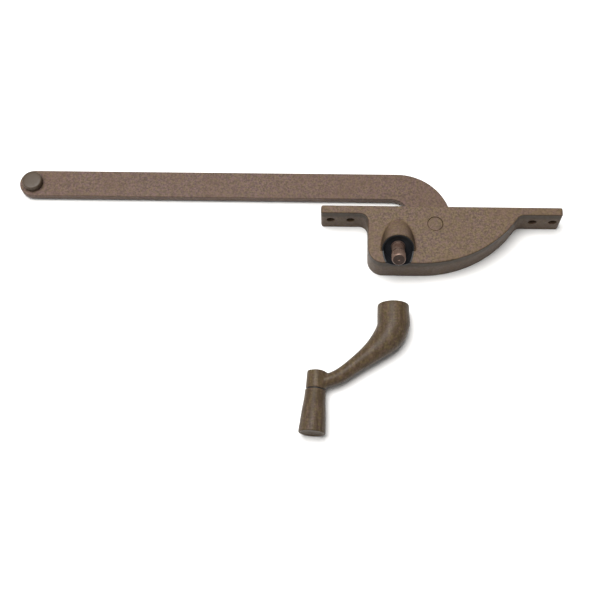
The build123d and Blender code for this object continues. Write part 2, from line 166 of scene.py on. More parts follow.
class FastenerShape(bpy.types.PropertyGroup):
    """Sizes of the small parts that repeat."""

    screw_shank: length_setting("Screw shank", 2.8, "Diameter over the screw's thread")
    screw_core: length_setting("Screw core", 2.3, "Diameter under the thread")
    screw_pitch: length_setting("Screw pitch", 0.8, "Advance of the thread in one turn")
    screw_head_depth: length_setting("Screw head depth", 1.2, "Depth of the countersunk head")
    recess_width: length_setting("Recess width", 0.7, "Width of the cross recess")
    recess_span: length_setting("Recess span", 3.0, "Length of the cross recess")
    rivet_shank: length_setting("Rivet shank", 3.0, "Diameter of a sector rivet")
    turn_seed: count_setting("Turn seed", 7, "Seed for how far each fastener is turned")


class StudioStage(bpy.types.PropertyGroup):
    """Floor, lights and camera."""

    floor_colour: colour_setting("Floor", "#F7F6F4", "Pale floor under the object")
    floor_size: length_setting("Floor size", 6000, "Width of the floor")
    sky: number_setting("Sky", 0.17, "Strength of the even light", min=0)
    key: number_setting("Key", 42.0, "Power of the light overhead", min=0, unit="POWER")
    key_size: length_setting("Key size", 1100, "Width of the light overhead")
    fill: number_setting("Fill", 0.8, "Power of the light at the left", min=0, unit="POWER")
    fill_size: length_setting("Fill size", 500, "Width of the light at the left")
    azimuth: number_setting("Azimuth", radians(-6.221), "Turn of the view", subtype="ANGLE")
    elevation: number_setting("Elevation", radians(68.898), "Height of the view", subtype="ANGLE")
    roll: number_setting("Roll", radians(-4.933), "Tilt about the view's axis", subtype="ANGLE")
    distance: length_setting("Distance", 606.83, "From the camera to its aim")
    aim_left: length_setting("Aim left", 76.03, "How far left of the arm's pivot the camera aims")
    aim_near: length_setting("Aim near", 40.13, "How far nearer than the pivot the camera aims")
    lens: number_setting("Lens", 63.76, "Focal length on a 36 mm sensor", unit="CAMERA")


SETTINGS = {
    "operator_finish": OperatorFinish,
    "handle_shape": HandleShape,
    "fastener_shape": FastenerShape,
    "studio_stage": StudioStage,
}


# ----------------------------------------------------------------------- shared helpers


def add_node(tree, kind, inputs=None, **settings):
    """Adds a node, sets its properties, and sets or links its inputs by name or number. A node
    given for an input stands for its first output, and a list fills an input that takes many."""
    node = tree.nodes.new(kind)
    for name, value in settings.items():
        setattr(node, name, value)
    shown = [socket for socket in node.inputs if socket.enabled]
    for key, given in (inputs or {}).items():
        socket = shown[key] if isinstance(key, int) else next(s for s in shown if s.name == key)
        for value in given if isinstance(given, list) else [given]:
            if isinstance(value, bpy.types.Node):
                value = next(output for output in value.outputs if output.enabled)
            if isinstance(value, bpy.types.NodeSocket):
                tree.links.new(value, socket)
            else:
                socket.default_value = value
    return node


def require(condition, message):
    """Stops the build with a plain message."""
    if not condition:
        raise RuntimeError(message)


def mesh_object(name, mesh):
    """A new object at the origin for a mesh that is already in its place."""
    made = bpy.data.objects.new(name, mesh)
    bpy.context.scene.collection.objects.link(made)
    return made


def discard(made):
    """Removes a helper object and its mesh."""
    mesh = made.data
    bpy.data.objects.remove(made)
    bpy.data.meshes.remove(mesh)


def skin(name, rings, close_loop=False):
    """A closed mesh over a list of rings of points. A ring of one point is a pole."""
    shape = bmesh.new()
    rows = [[shape.verts.new(point) for point in ring] for ring in rings]
    pairs = list(zip(rows, rows[1:]))
    if close_loop:
        pairs.append((rows[-1], rows[0]))
    for low, high in pairs:
        count = max(len(low), len(high))
        for index in range(count if count > 1 else 0):
            after = (index + 1) % count
            around = [
                low[index % len(low)],
                low[after % len(low)],
                high[after % len(high)],
                high[index % len(high)],
            ]
            shape.faces.new(list(dict.fromkeys(around)))
    for row in (rows[0], rows[-1]):
        if not close_loop and len(row) > 1:
            shape.faces.new(row)
    bmesh.ops.recalc_face_normals(shape, faces=shape.faces)
    mesh = bpy.data.meshes.new(name)
    shape.to_mesh(mesh)
    shape.free()
    return mesh


def turned(name, profile, place, close_loop=False, segments=96):
    """A turned shape: profile rows are (radius, height) along the place's Z."""
    rings = []
    for radius, height in profile:
        count = segments if radius > 0 else 1
        angles = [2 * pi * step / count for step in range(count)]
        rings.append([place @ Vector((radius * cos(a), radius * sin(a), height)) for a in angles])
    return skin(name, rings, close_loop)


def corner(centre, radius, start, end, steps=6):
    """Profile points on an arc; angles in degrees."""
    points = []
    for step in range(steps + 1):
        angle = radians(start + (end - start) * step / steps)
        points.append((centre[0] + radius * cos(angle), centre[1] + radius * sin(angle)))
    return points


def smooth_rows(rows, between):
    """Rows of numbers with smooth values added between them."""
    padded = [rows[0], *rows, rows[-1]]
    made = []
    for before, start, end, after in zip(padded, padded[1:], padded[2:], padded[3:]):
        for step in range(between):
            t = step / between
            values = []
            for a, b, c, d in zip(before, start, end, after):
                bend = (2 * a - 5 * b + 4 * c - d) * t * t + (3 * b - a - 3 * c + d) * t * t * t
                values.append(b + ((c - a) * t + bend) / 2)
            made.append(values)
    made.append(list(rows[-1]))
    return made


def bake_modifiers(made):
    """Replaces the mesh with what its modifiers give, and removes them."""
    graph = bpy.context.evaluated_depsgraph_get()
    mesh = bpy.data.meshes.new_from_object(made.evaluated_get(graph))
    made.modifiers.clear()
    old = made.data
    made.data = mesh
    bpy.data.meshes.remove(old)


def cut_away(made, cutters):
    """Cuts helper shapes out of a piece and discards them."""
    for cutter in cutters:
        modifier = made.modifiers.new("cut", "BOOLEAN")
        modifier.operation = "DIFFERENCE"
        modifier.solver = "EXACT"
        modifier.object = cutter
    bake_modifiers(made)
    for cutter in cutters:
        discard(cutter)
    require(len(made.data.polygons) > 0, f"{made.name} was cut away completely")


def shade(made, material, angle=32):
    """One material, smooth, with edges sharper than the angle kept."""
    made.data.materials.clear()
    made.data.materials.append(material)
    for polygon in made.data.polygons:
        polygon.use_smooth = True
    made.data.set_sharp_from_angle(angle=radians(angle))


def paint(material, *node_names):
    """Gives CAD nodes their finish."""
    for node_name in node_names:
        for slot in frame["nodes"][node_name].material_slots:
            slot.material = material


def settle(made, body, slot, *nodes):
    """Ties a finished piece to its body and hides the CAD nodes it stands for; the slot is not used."""
    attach(made, body)
    if nodes:
        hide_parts(*nodes)


def axis_place(position, direction):
    """A placement whose Z runs along the direction."""
    turn = Vector(direction).to_track_quat("Z", "X")
    return Matrix.Translation(Vector(position)) @ turn.to_matrix().to_4x4()


def reach(node_name, position, direction):
    """How far a CAD node reaches along an axis, as (least, most)."""
    origin, way = Vector(position), Vector(direction).normalized()
    steps = [(vertex.co - origin).dot(way) for vertex in frame["nodes"][node_name].data.vertices]
    return min(steps), max(steps)


def separate_solids(node_name):
    """Lowest and highest corner of each solid in a CAD node."""
    shape = bmesh.new()
    shape.from_mesh(frame["nodes"][node_name].data)
    bmesh.ops.remove_doubles(shape, verts=shape.verts, dist=0.001 * MM)
    left = set(shape.verts)
    corners = []
    while left:
        edge_of_walk = [left.pop()]
        found = []
        while edge_of_walk:
            vertex = edge_of_walk.pop()
            found.append(vertex.co.copy())
            for edge in vertex.link_edges:
                other = edge.other_vert(vertex)
                if other in left:
                    left.remove(other)
                    edge_of_walk.append(other)
        low = Vector([min(point[axis] for point in found) for axis in range(3)])
        high = Vector([max(point[axis] for point in found) for axis in range(3)])
        corners.append((low, high))
    shape.free()
    return sorted(corners, key=lambda pair: (pair[0].x, pair[0].y))


# ---------------------------------------------------------------------------- materials


def new_material(name):
    """A material with an empty tree, and its Object coordinates."""
    material = bpy.data.materials.new(name)
    material.use_nodes = True
    tree = material.node_tree
    tree.nodes.clear()
    return material, tree, add_node(tree, "ShaderNodeTexCoord").outputs["Object"]


def at(place, spacing, **more):
    """Inputs of a pattern whose features are about one spacing apart."""
    return {"Vector": place, "Scale": 1 / spacing, **more}


def spread(value, low, high, to_low, to_high):
    """Inputs that take a value from one span to another."""
    return {
        "Value": value, "From Min": low, "From Max": high, "To Min": to_low, "To Max": to_high
    }


def scaled(colour, *factors):
    """A colour with its channels multiplied, by one factor or by three, kept within range."""
    factors = factors * 3 if len(factors) == 1 else factors
    return tuple(min(1.0, c * f) for c, f in zip(colour[:3], factors)) + (1.0,)


def edge_likeness(tree, edge_width):
    """How alike the rounded and the true normal are, which drops along edges and masks the painted
    highlight there, and the rounded normal, which makes edges look broken."""
    rounded = add_node(tree, "ShaderNodeBevel", {"Radius": edge_width}, samples=4)
    true_normal = add_node(tree, "ShaderNodeNewGeometry").outputs["Normal"]
    both = {0: rounded, 1: true_normal}
    return add_node(tree, "ShaderNodeVectorMath", both, operation="DOT_PRODUCT"), rounded


def upright_below(tree, place, rim):
    """How far a face stands upright, most so in the last few millimetres below a rim: the mask
    for painted shade on upright walls.
    """
    facing = add_node(tree, "ShaderNodeNewGeometry").outputs["Normal"]
    facing_up = add_node(tree, "ShaderNodeSeparateXYZ", {"Vector": facing}).outputs["Z"]
    height = add_node(tree, "ShaderNodeSeparateXYZ", {"Vector": place}).outputs["Z"]
    near_rim = spread(height, rim - 7 * MM, rim - 4 * MM, 0.4, 1.0)
    near_rim = add_node(tree, "ShaderNodeMapRange", near_rim)
    upright = add_node(tree, "ShaderNodeMapRange", spread(facing_up, 0.45, 0.75, 0.85, 0.0))
    return add_node(tree, "ShaderNodeMath", {0: near_rim, 1: upright}, operation="MULTIPLY")


def layered(tree, colour, *layers):
    """A colour with others laid over it. Each layer is a pattern, its span that shows and how
    strongly, the colour laid on, and a blend where that isn't a plain mix."""
    for pattern, span, over, *blend in layers:
        share = add_node(tree, "ShaderNodeMapRange", spread(pattern, *span))
        mixed = {"Factor": share, "A": colour, "B": over}
        how = blend[0] if blend else "MIX"
        colour = add_node(tree, "ShaderNodeMix", mixed, data_type="RGBA", blend_type=how)
    return colour


def finish_surface(tree, colour, relief, **shader):
    """The shader with its colour and relief, and the output."""
    named = {name.replace("_", " "): value for name, value in shader.items()}
    named |= {"Base Color": colour, "Normal": add_node(tree, "ShaderNodeBump", relief)}
    surface = add_node(tree, "ShaderNodeBsdfPrincipled", named)
    add_node(tree, "ShaderNodeOutputMaterial", {"Surface": surface})


# Span of the edge mask over which colours are lightened into a painted highlight.
EDGE_HIGHLIGHT_SPAN = (1.0, 0.9, 0.0)
VIOLET_TINT = (1.0, 0.9, 1.3, 1.0)


def bronze_enamel(name, colour, roughness, finish, contrast=1.0, sheen=0.15, streaks=0, rim=None):
    """Baked bronze enamel over metal: brown with fine warm, violet and dark flecks, a low rippled
    sheen, and edges painted lighter, partly for the thinner coat there and partly as a painted
    highlight. Crevices and recesses are darkened with painted shade. The real flecks are a tenth
    of a millimetre; they are drawn coarser so that they show. Streaks are long darker marks.
    With a rim, upright faces are painted darker as painted shade, most so close below it, to give
    the dark line under the roof's edge and the darker walls."""
    material, tree, place = new_material(name)
    likeness, rounded = edge_likeness(tree, finish.edge)
    flecks = at(place, finish.fleck, Detail=3.0, Roughness=0.7)
    flecks = add_node(tree, "ShaderNodeTexNoise", flecks)
    tints = add_node(tree, "ShaderNodeTexNoise", at(place, 1.8 * finish.fleck))
    patches = add_node(tree, "ShaderNodeTexNoise", at(place, 18 * MM))
    # Ambient occlusion, the mask for the painted shade in crevices and recesses.
    painted_crevice_shade = add_node(tree, "ShaderNodeAmbientOcclusion", {"Distance": 3 * MM}, samples=6)
    layers = [
        (flecks, (0.36, 0.64, 0.0, 1.0), scaled(colour, 1 + 0.4 * contrast)),
        (tints, (0.42, 0.58, 0.0, 0.8), VIOLET_TINT, "MULTIPLY"),
        (patches, (0.35, 0.65, 0.0, 0.35), scaled(colour, 1.04, 0.93, 0.9)),
    ]
    # Long darker streaks, drawn out along one axis.
    if streaks:
        drawn_out = {"Vector": place, "Scale": (1.0, 0.12, 1.0)}
        drawn_out = add_node(tree, "ShaderNodeMapping", drawn_out)
        runs = add_node(tree, "ShaderNodeTexNoise", at(drawn_out, 1.8 * MM))
        layers.append((runs, (0.42, 0.6, 0.0, streaks), scaled(colour, 0.5, 0.44, 0.5)))
    # Painted shade: the colour is darkened where ambient occlusion finds crevices and recesses.
    layers.append((painted_crevice_shade.outputs["AO"], (0.25, 0.8, 0.45, 0.0), scaled(colour, 0.35, 0.33, 0.32)))
    # Painted highlight along edges, partly also the thinner coat there: the colour is lightened.
    layers.append((likeness, (*EDGE_HIGHLIGHT_SPAN, 0.4), scaled(colour, 1.7, 1.65, 1.6)))
    # Painted shade: upright faces darkened, most so in the last millimetres below the rim.
    if rim is not None:
        darker = upright_below(tree, place, rim)
        layers.append((darker, (0.0, 1.0, 0.0, 1.0), scaled(colour, 0.3, 0.28, 0.27)))
    coat = layered(tree, scaled(colour, 1 - 0.36 * contrast), *layers)
    gloss = add_node(tree, "ShaderNodeTexNoise", at(place, 2.5 * finish.fleck))
    gloss = spread(gloss, 0.3, 0.7, roughness - 0.05, roughness + 0.07)
    gloss = add_node(tree, "ShaderNodeMapRange", gloss)
    peel = add_node(tree, "ShaderNodeTexNoise", at(place, finish.orange_peel, Detail=3.0))
    relief = {"Strength": 1.0, "Distance": 0.02 * MM, "Height": peel, "Normal": rounded}
    finish_surface(tree, coat, relief, Roughness=gloss, IOR=1.5, Specular_IOR_Level=sheen)
    return material


def oiled_steel(name, colour, along):
    """Turned steel darkened by oil: brown-grey metal with fine rings round the shaft, duller and
    redder patches where the oil has dried, a painted highlight along edges, and painted shade
    that darkens the end face."""
    material, tree, place = new_material(name)
    likeness, rounded = edge_likeness(tree, 0.25 * MM)
    turn = {"Vector": place, "Rotation": Vector(along).to_track_quat("X", "Z").to_euler()}
    turned_place = add_node(tree, "ShaderNodeMapping", turn, vector_type="TEXTURE")
    rings = at(turned_place, 6 * MM, Distortion=0.6, Detail=2.0)
    rings = add_node(tree, "ShaderNodeTexWave", rings, bands_direction="X").outputs["Fac"]
    dried = add_node(tree, "ShaderNodeTexNoise", at(place, 2.4 * MM, Detail=3.0))
    # Painted shade: the mask of faces that look along the shaft, whose end face is darkened below.
    facing = add_node(tree, "ShaderNodeNewGeometry").outputs["Normal"]
    likened = {0: facing, 1: tuple(along)}
    end_face = add_node(tree, "ShaderNodeVectorMath", likened, operation="DOT_PRODUCT")
    metal = layered(
        tree,
        colour,
        (dried, (0.4, 0.65, 0.0, 0.8), scaled(colour, 0.62, 0.48, 0.42)),
        # Painted highlight: the colour is lightened along edges.
        (likeness, (*EDGE_HIGHLIGHT_SPAN, 0.55), scaled(colour, 2.4, 2.5, 2.6)),
        # Painted shade: the end face is darkened.
        (end_face, (0.9, 0.97, 0.0, 0.8), scaled(colour, 0.2, 0.2, 0.22)),
    )
    gloss = add_node(tree, "ShaderNodeTexNoise", at(place, 1.5 * MM))
    gloss = add_node(tree, "ShaderNodeMapRange", spread(gloss, 0.3, 0.7, 0.36, 0.52))
    relief = {"Strength": 0.6, "Distance": 0.01 * MM, "Height": rings, "Normal": rounded}
    finish_surface(tree, metal, relief, Metallic=0.5, Roughness=gloss)
    return material


def milled_steel(name, colour):
    """Cut gear steel with a film of oil: clean grey, with fine straight cutter marks."""
    material, tree, place = new_material(name)
    likeness, rounded = edge_likeness(tree, 0.3 * MM)
    marks = at(place, 7 * MM, Distortion=1.2, Detail=3.0)
    marks = add_node(tree, "ShaderNodeTexWave", marks).outputs["Fac"]
    film = add_node(tree, "ShaderNodeTexNoise", at(place, 5 * MM))
    metal = layered(
        tree,
        colour,
        (film, (0.4, 0.7, 0.0, 0.6), scaled(colour, 0.6, 0.55, 0.45)),
        # Painted highlight: the colour is lightened along edges.
        (likeness, (*EDGE_HIGHLIGHT_SPAN, 0.5), scaled(colour, 1.5)),
    )
    gloss = add_node(tree, "ShaderNodeTexNoise", at(place, 1.2 * MM))
    gloss = add_node(tree, "ShaderNodeMapRange", spread(gloss, 0.3, 0.7, 0.28, 0.42))
    relief = {"Strength": 0.5, "Distance": 0.008 * MM, "Height": marks, "Normal": rounded}
    finish_surface(tree, metal, relief, Metallic=1.0, Roughness=gloss)
    return material


def zinc_plating(name, colour):
    """Zinc plate on steel: soft silver with a faint crystal mottle and a yellowish bloom."""
    material, tree, place = new_material(name)
    likeness, rounded = edge_likeness(tree, 0.3 * MM)
    crystals = add_node(tree, "ShaderNodeTexVoronoi", at(place, 1.6 * MM)).outputs["Color"]
    grey = add_node(tree, "ShaderNodeRGBToBW", {"Color": crystals})
    bloom = add_node(tree, "ShaderNodeTexNoise", at(place, 9 * MM))
    metal = layered(
        tree,
        colour,
        (grey, (0.2, 0.8, 0.0, 0.35), scaled(colour, 0.78, 0.78, 0.8)),
        (bloom, (0.4, 0.7, 0.0, 0.4), scaled(colour, 0.95, 0.88, 0.7)),
        # Painted highlight: the colour is lightened along edges.
        (likeness, (*EDGE_HIGHLIGHT_SPAN, 0.4), scaled(colour, 1.5)),
    )
    gloss = add_node(tree, "ShaderNodeMapRange", spread(grey, 0.2, 0.8, 0.3, 0.46))
    dimples = add_node(tree, "ShaderNodeTexNoise", at(place, 1.4 * MM, Detail=3.0))
    relief = {"Strength": 1.0, "Distance": 0.008 * MM, "Height": dimples, "Normal": rounded}
    finish_surface(tree, metal, relief, Metallic=1.0, Roughness=gloss)
    return material


def pressed_bronze(name, colour):
    """Sintered bronze: matt golden brown with small dark pores that hold the oil."""
    material, tree, place = new_material(name)
    cells = add_node(tree, "ShaderNodeTexVoronoi", at(place, 0.6 * MM))
    tone = add_node(tree, "ShaderNodeTexNoise", at(place, 3 * MM))
    metal = layered(
        tree,
        scaled(colour, 0.85, 0.82, 0.8),
        (tone, (0.0, 1.0, 0.0, 1.0), scaled(colour, 1.15, 1.1, 1.0)),
        (cells, (0.12, 0.25, 1.0, 0.0), scaled(colour, 0.3, 0.26, 0.22)),
    )
    pitted = add_node(tree, "ShaderNodeMapRange", spread(cells, 0.12, 0.25, 0.0, 1.0))
    relief = {"Strength": 0.7, "Distance": 0.02 * MM, "Height": pitted}
    finish_surface(tree, metal, relief, Metallic=0.9, Roughness=0.48)
    return material


def moulded_plastic(name, colour, roughness, grain):
    """Moulded nylon or acetal: even colour with a spark-eroded grain, soft highlights, and a painted
    highlight along edges. The real grain is a few hundredths of a millimetre; it is drawn coarser
    so that it shows."""
    material, tree, place = new_material(name)
    likeness, rounded = edge_likeness(tree, 0.15 * MM)
    eroded = add_node(tree, "ShaderNodeTexNoise", at(place, grain, Detail=3.0))
    plastic = layered(
        tree,
        scaled(colour, 0.82),
        (eroded, (0.0, 1.0, 0.0, 1.0), scaled(colour, 1.18)),
        # Painted highlight: the colour is lightened along edges.
        (likeness, (*EDGE_HIGHLIGHT_SPAN, 0.25), scaled(colour, 1.6)),
    )
    gloss = add_node(tree, "ShaderNodeTexNoise", at(place, 2 * grain))
    gloss = spread(gloss, 0.3, 0.7, roughness - 0.05, roughness + 0.06)
    gloss = add_node(tree, "ShaderNodeMapRange", gloss)
    relief = {"Strength": 1.0, "Distance": 0.01 * MM, "Height": eroded, "Normal": rounded}
    finish_surface(tree, plastic, relief, Roughness=gloss, IOR=1.53, Specular_IOR_Level=0.25)
    return material


def matt_floor(name, colour):
    """Painted board: near white and matt, with a tone that only just wanders."""
    material, tree, place = new_material(name)
    tone = add_node(tree, "ShaderNodeTexNoise", at(place, 60 * MM))
    paint_coat = layered(tree, colour, (tone, (0.0, 1.0, 0.0, 1.0), scaled(colour, 0.985)))
    surface = {"Base Color": paint_coat, "Roughness": 0.8, "Specular IOR Level": 0.2}
    surface = add_node(tree, "ShaderNodeBsdfPrincipled", surface)
    add_node(tree, "ShaderNodeOutputMaterial", {"Surface": surface})
    return material


# ---------------------------------------------------------------------------- operators


class FinishCase(bpy.types.Operator):
    """Enamels the die-cast case and plates its cover"""

    bl_idname = "window_operator.finish_case"
    bl_label = "Finish the Case"

    def execute(self, context):
        finish = context.scene.operator_finish
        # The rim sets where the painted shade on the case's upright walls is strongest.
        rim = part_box("pivot_pin")[1].z
        name = "bronze_enamel_on_die_casting"
        paint(bronze_enamel(name, finish.case_enamel, 0.5, finish, rim=rim), "gear_housing")
        plate = zinc_plating("zinc_plate_on_pressed_steel", finish.zinc_plate)
        paint(plate, "bottom_cover", "lower_pivot_washer", "upper_pivot_washer")
        return {"FINISHED"}


class FinishArm(bpy.types.Operator):
    """Enamels the stamped arm"""

    bl_idname = "window_operator.finish_arm"
    bl_label = "Finish the Arm"

    def execute(self, context):
        finish = context.scene.operator_finish
        name = "bronze_enamel_on_stamped_steel"
        paint(bronze_enamel(name, finish.arm_enamel, 0.52, finish), "operator_arm")
        return {"FINISHED"}


class FinishDrive(bpy.types.Operator):
    """Gives the shaft, sector, bearings and thrust washer their bare metal, and the snout bushing and knob washer
    their nylon
    """

    bl_idname = "window_operator.finish_drive"
    bl_label = "Finish the Drive"

    def execute(self, context):
        finish = context.scene.operator_finish
        shaft_way = JOINTS["worm_spin"]["axis"]
        paint(oiled_steel("oil_darkened_turned_steel", finish.shaft_steel, shaft_way), "worm_shaft")
        paint(milled_steel("milled_gear_steel", finish.gear_steel), "gear_sector")
        bronze = pressed_bronze("sintered_bronze", finish.sintered_bronze)
        paint(bronze, "inner_shaft_bearing", "hub_bushing", "worm_thrust_washer")
        # Black nylon on the bushing and the knob washer; the bushing's liner, black in the snout's mouth, is
        # partly painted shade there.
        nylon = moulded_plastic("black_moulded_nylon", finish.bushing_nylon_and_mouth_shade, 0.42, 0.6 * MM)
        paint(nylon, "snout_bushing", "knob_washer")
        return {"FINISHED"}


class FinishFittings(bpy.types.Operator):
    """Finishes the stud, the knob's spindle, the handle's set screw and the pivot pin"""

    bl_idname = "window_operator.finish_fittings"
    bl_label = "Finish the Fittings"

    def execute(self, context):
        finish = context.scene.operator_finish
        plate = zinc_plating("zinc_plate_on_turned_steel", finish.zinc_plate)
        paint(plate, "button_stud", "knob_spindle", "crank_set_screw")
        name = "bronze_enamel_on_pin_head"
        paint(bronze_enamel(name, finish.case_enamel, 0.5, finish), "pivot_pin")
        return {"FINISHED"}


# Path of the handle's arm: share of the way aside from the socket's axis to the eye, share of
# the way along it, heading away from the axis in degrees, width and height in millimetres.
HANDLE_PATH = (
    (0.0, 0.09, 0, 17.8, 17.8),
    (0.0, 0.272, 2, 18.1, 17.5),
    (0.0785, 0.445, 22, 16.9, 15.6),
    (0.252, 0.606, 44, 12.2, 12.0),
    (0.473, 0.775, 54, 9.1, 9.6),
    (0.699, 0.935, 57, 8.0, 8.4),
    (0.914, 1.018, 66, 7.3, 8.0),
)


ROWS_BETWEEN = 9
RING_STEPS = 48


class CastHandle(bpy.types.Operator):
    """Casts the crank handle: socket, curved arm and eye blended into one body"""

    bl_idname = "window_operator.cast_handle"
    bl_label = "Cast the Handle"

    def execute(self, context):
        shape = context.scene.handle_shape
        mouth = MOUNTS["crank_socket"]
        rim, outward = Vector(mouth["pos_m"]), Vector(mouth["axis"])
        spin = JOINTS["knob_spin"]
        eye, knob_way = Vector(spin["pos_m"]), Vector(spin["axis"])
        inward = -outward.normalized()
        length = (eye - rim).dot(inward)
        beside = eye - rim - inward * length
        width = beside.length
        aside = beside.normalized()
        up = inward.cross(aside)

        rings = []
        for share_aside, share_along, heading, wide, high in smooth_rows(HANDLE_PATH, ROWS_BETWEEN):
            centre = rim + aside * (share_aside * width) + inward * (share_along * length)
            ahead = radians(heading)
            sideways = aside * cos(ahead) - inward * sin(ahead)
            ring = []
            for step in range(RING_STEPS):
                angle = 2 * pi * step / RING_STEPS
                across = sideways * (cos(angle) * wide * MM / 2)
                ring.append(centre + across + up * (sin(angle) * high * MM / 2))
            rings.append(ring)
        handle = mesh_object("crank_handle", skin("crank_handle", rings))

        socket_radius = shape.socket_width / 2
        socket_profile = [(socket_radius, 0), (socket_radius, shape.socket_wall_end)]
        socket = mesh_object("socket", turned("socket", socket_profile, axis_place(rim, inward)))
        eye_half = reach("knob_washer", eye, knob_way)[0]
        eye_profile = [(shape.eye_width / 2, -eye_half), (shape.eye_width / 2, eye_half)]
        eye_body = mesh_object("eye", turned("eye", eye_profile, axis_place(eye, knob_way)))
        self.join(handle, [socket, eye_body])

        remesh = handle.modifiers.new("cast", "REMESH")
        remesh.mode = "VOXEL"
        remesh.voxel_size = shape.casting_grid
        relax = handle.modifiers.new("blend", "SMOOTH")
        relax.factor = 0.5
        relax.iterations = shape.blend_passes
        bake_modifiers(handle)

        cut_away(handle, self.bore(shape, rim, inward) + self.small_holes(eye, knob_way, up))
        finish = context.scene.operator_finish
        name = "semi_gloss_bronze_enamel_on_zinc"
        shade(handle, bronze_enamel(name, finish.handle_enamel, 0.36, finish, 0.8, 0.1, 0.55))
        settle(handle, "crank", "handle_paint", "crank_arm")
        return {"FINISHED"}

    def join(self, handle, others):
        """Adds other shells to the handle's mesh."""
        joined = bmesh.new()
        for made in (handle, *others):
            joined.from_mesh(made.data)
        joined.to_mesh(handle.data)
        joined.free()
        for made in others:
            discard(made)

    def bore(self, shape, rim, inward):
        """Cutters for the serrated bore and its countersunk mouth."""
        place = axis_place(rim, inward)
        outer = shape.bore_width / 2
        rings = []
        for depth in (-MM, shape.bore_depth):
            ring = []
            for step in range(2 * shape.spline_count):
                angle = pi * step / shape.spline_count
                radius = outer - shape.spline_depth * (step % 2)
                ring.append(place @ Vector((radius * cos(angle), radius * sin(angle), depth)))
            rings.append(ring)
        serrated = mesh_object("serrated_bore", skin("serrated_bore", rings))
        slope = [
            (outer + 1.4 * MM, -0.5 * MM),
            (outer + 0.9 * MM, 0),
            (outer - 0.4 * MM, 1.3 * MM),
        ]
        return [serrated, mesh_object("countersink", turned("countersink", slope, place))]

    def small_holes(self, eye, knob_way, up):
        """Cutters for the spindle's hole through the eye and the set screw's hole."""
        screw_low, screw_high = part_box("crank_set_screw")
        screw_radius = (screw_high.y - screw_low.y) / 2 + 0.03 * MM
        cutters = []
        for name, radius, half_length, place in (
            ("spindle_hole", 2.27 * MM, 9 * MM, axis_place(eye, knob_way)),
            ("screw_hole", screw_radius, 6 * MM, axis_place((screw_low + screw_high) / 2, up)),
        ):
            through = [(radius, -half_length), (radius, half_length)]
            cutters.append(mesh_object(name, turned(name, through, place)))
        return cutters


class TurnKnob(bpy.types.Operator):
    """Turns the handle's knob, with its dished end and the pocket for the spindle's head"""

    bl_idname = "window_operator.turn_knob"
    bl_label = "Turn the Knob"

    def execute(self, context):
        shape = context.scene.handle_shape
        eye, way = Vector(JOINTS["knob_spin"]["pos_m"]), Vector(JOINTS["knob_spin"]["axis"])
        start, end = reach("crank_knob", eye, way)
        end -= 0.6 * MM
        head_end = reach("knob_spindle", eye, way)[1] + 0.03 * MM
        head_start = head_end - 1.08 * MM
        neck, wide = shape.knob_neck / 2, shape.knob_end / 2
        hole, pocket = 2.32 * MM, 3.55 * MM
        outline = smooth_rows(
            (
                (neck - 0.1 * MM, start + 0.6 * MM),
                (neck + 0.1 * MM, start + 5.0 * MM),
                (neck + 0.8 * MM, start + 12.0 * MM),
                (wide - 0.35 * MM, start + 18.5 * MM),
                (wide, end - 0.9 * MM),
            ),
            6,
        )
        dish = (
            (wide - 1.0 * MM, end),
            (wide - 2.6 * MM, end - 0.5 * MM),
            (1.2 * MM, end - 0.64 * MM),
        )
        profile = [
            (hole, start),
            *corner((neck - 0.6 * MM, start + 0.5 * MM), 0.5 * MM, -90, 0),
            *outline,
            *corner((wide - 0.6 * MM, end - 0.6 * MM), 0.6 * MM, 0, 90),
            *smooth_rows(dish, 4),
            (0, end - 0.65 * MM),
            (0, head_end),
            (pocket, head_end),
            (pocket, head_start),
            (hole, head_start),
        ]
        turned_mesh = turned("turned_knob", profile, axis_place(eye, way), close_loop=True)
        knob = mesh_object("turned_knob", turned_mesh)
        finish = context.scene.operator_finish
        colour = scaled(finish.handle_enamel, 0.94, 0.94, 0.98)
        name = "semi_gloss_bronze_enamel_on_knob"
        shade(knob, bronze_enamel(name, colour, 0.38, finish, 0.8, 0.1, 0.55))
        settle(knob, "knob", "handle_paint", "crank_knob")
        return {"FINISHED"}


class MouldButton(bpy.types.Operator):
    """Moulds the guide button that runs in the track of the sash"""

    bl_idname = "window_operator.mould_button"
    bl_label = "Mould the Button"

    def execute(self, context):
        low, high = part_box("track_button")
        stud_low, stud_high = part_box("button_stud")
        place = Matrix.Translation(((low.x + high.x) / 2, (low.y + high.y) / 2, 0))
        radius = (high.x - low.x) / 2
        head_bottom = stud_high.z - 1.1 * MM
        head_top = stud_high.z + 0.08 * MM
        bore, groove = 2.95 * MM, (stud_high.x - stud_low.x) / 2 + 0.05 * MM
        crown_drops = ((0.8, 0.12), (0.6, 0.05), (0.35, 0.01))
        crown = [(radius * share, high.z - drop * MM) for share, drop in crown_drops]
        profile = [
            *corner((radius - 0.25 * MM, low.z + 0.25 * MM), 0.25 * MM, -90, 0, 4),
            *corner((radius - 0.9 * MM, high.z - 1.1 * MM), 0.9 * MM, 0, 75, 8),
            *crown,
            (0, high.z),
            (0, head_top),
            (groove, head_top),
            (groove, head_bottom),
            (bore, head_bottom),
            (bore, low.z),
        ]
        turned_mesh = turned("guide_button", profile, place, close_loop=True)
        button = mesh_object("guide_button", turned_mesh)
        acetal = context.scene.operator_finish.button_acetal
        shade(button, moulded_plastic("moulded_acetal", acetal, 0.45, 0.7 * MM))
        settle(button, "button", "button_nylon", "track_button")
        return {"FINISHED"}


# ----------------------------------------------------------------- repeated fasteners


